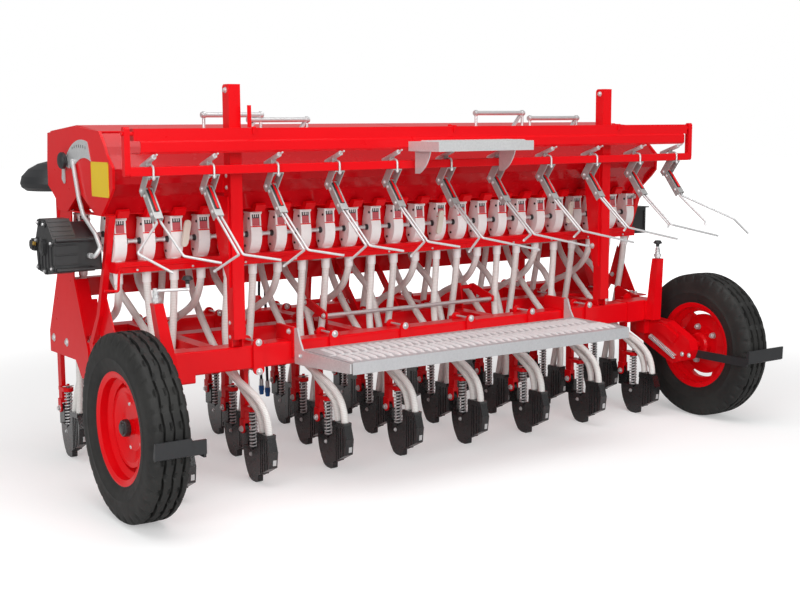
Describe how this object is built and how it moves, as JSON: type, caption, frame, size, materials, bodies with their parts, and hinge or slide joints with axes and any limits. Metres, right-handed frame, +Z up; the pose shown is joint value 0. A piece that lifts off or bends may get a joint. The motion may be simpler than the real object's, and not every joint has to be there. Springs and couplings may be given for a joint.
{
  "type": "mounted combined seed drill",
  "caption": "Tractor-mounted combined seed and fertiliser drill with hopper, metering boxes, hoses, spring-loaded boot coulters, depth wheels, row markers and footboard.",
  "frame": {"origin": "on the ground, under the middle of the machine", "axes": "+X to the machine's right seen from behind, +Y forwards in the direction of travel, +Z up"},
  "size_m": [3.4373, 1.8289, 1.6815],
  "materials": {
    "red_paint": "gloss",
    "galvanised": "satin",
    "spring_steel": "satin",
    "bright_steel": "satin",
    "black_cast": "satin",
    "black_plastic": "matte",
    "white_plastic": "gloss",
    "hose": "satin",
    "tyre": "matte",
    "black_rubber": "satin",
    "blue_cap": "satin"
  },
  "bodies": {
    "frame": {"boots": "black_cast", "coulter_springs": "spring_steel", "coupling_front": "blue_cap", "coupling_rear": "blue_cap", "depth_screws": "bright_steel", "depth_towers": "red_paint", "drive_boxes": "black_cast", "fertiliser_meters": "white_plastic", "footboard": "galvanised", "footboard_brackets": "galvanised", "frame_rails": "red_paint", "front_beam": "red_paint", "harrow_frame": "red_paint", "harrow_tines": "galvanised", "hitch_braces": "red_paint", "hitch_pins": "bright_steel", "hitch_plates": "red_paint", "hitch_tower": "red_paint", "hopper_ends": "red_paint", "hopper_floor": "red_paint", "hopper_legs": "red_paint", "hopper_walls": "red_paint", "hoses_front": "hose", "hoses_middle": "hose", "hoses_rear": "hose", "hydraulic_hose_front": "black_rubber", "hydraulic_hose_rear": "black_rubber", "knobs": "black_plastic", "loading_rail": "red_paint", "marker_hangers": "red_paint", "masts": "red_paint", "meter_rail": "red_paint", "meter_shafts": "bright_steel", "middle_beam": "red_paint", "press_levers": "red_paint", "rate_lever": "galvanised", "rear_beam": "red_paint", "scrapers": "black_plastic", "seed_meters": "white_plastic", "shanks": "red_paint", "shutters": "red_paint", "side_frames": "red_paint", "step_brackets": "galvanised", "tie_rod": "bright_steel", "tine_holders": "galvanised", "upper_step": "galvanised", "wheel_arms": "red_paint"},
    "wheel_left": {"rim_left": "red_paint", "tyre_left": "tyre"},
    "wheel_right": {"rim_right": "red_paint", "tyre_right": "tyre"},
    "lid_left": {"lid_handles_left": "bright_steel", "lid_left": "red_paint"},
    "lid_right": {"lid_handles_right": "bright_steel", "lid_right": "red_paint"},
    "marker_left": {"marker_arm_left": "red_paint", "marker_disc_left": "black_plastic"},
    "marker_right": {"marker_arm_right": "red_paint", "marker_disc_right": "black_plastic"}
  },
  "joints": [
    {"name": "wheel_left_spin", "type": "hinge", "parent": "frame", "child": "wheel_left", "pos_m": [-1.576, -0.5105, 0.37], "axis": [-1, 0, 0], "continuous": true},
    {"name": "wheel_right_spin", "type": "hinge", "parent": "frame", "child": "wheel_right", "pos_m": [1.576, -0.5105, 0.37], "axis": [-1, 0, 0], "continuous": true},
    {"name": "lid_left_hinge", "type": "hinge", "parent": "frame", "child": "lid_left", "pos_m": [-0.75, 0.5135, 1.494], "axis": [-1, 0, 0], "range_deg": [0, 100]},
    {"name": "lid_right_hinge", "type": "hinge", "parent": "frame", "child": "lid_right", "pos_m": [0.75, 0.5135, 1.494], "axis": [-1, 0, 0], "range_deg": [0, 100]},
    {"name": "marker_left_fold", "type": "hinge", "parent": "frame", "child": "marker_left", "pos_m": [-1.385, 0.7365, 0.562], "axis": [0, -1, 0], "range_deg": [0, 115]},
    {"name": "marker_right_fold", "type": "hinge", "parent": "frame", "child": "marker_right", "pos_m": [1.385, 0.7365, 0.562], "axis": [0, 1, 0], "range_deg": [0, 115]}
  ]
}
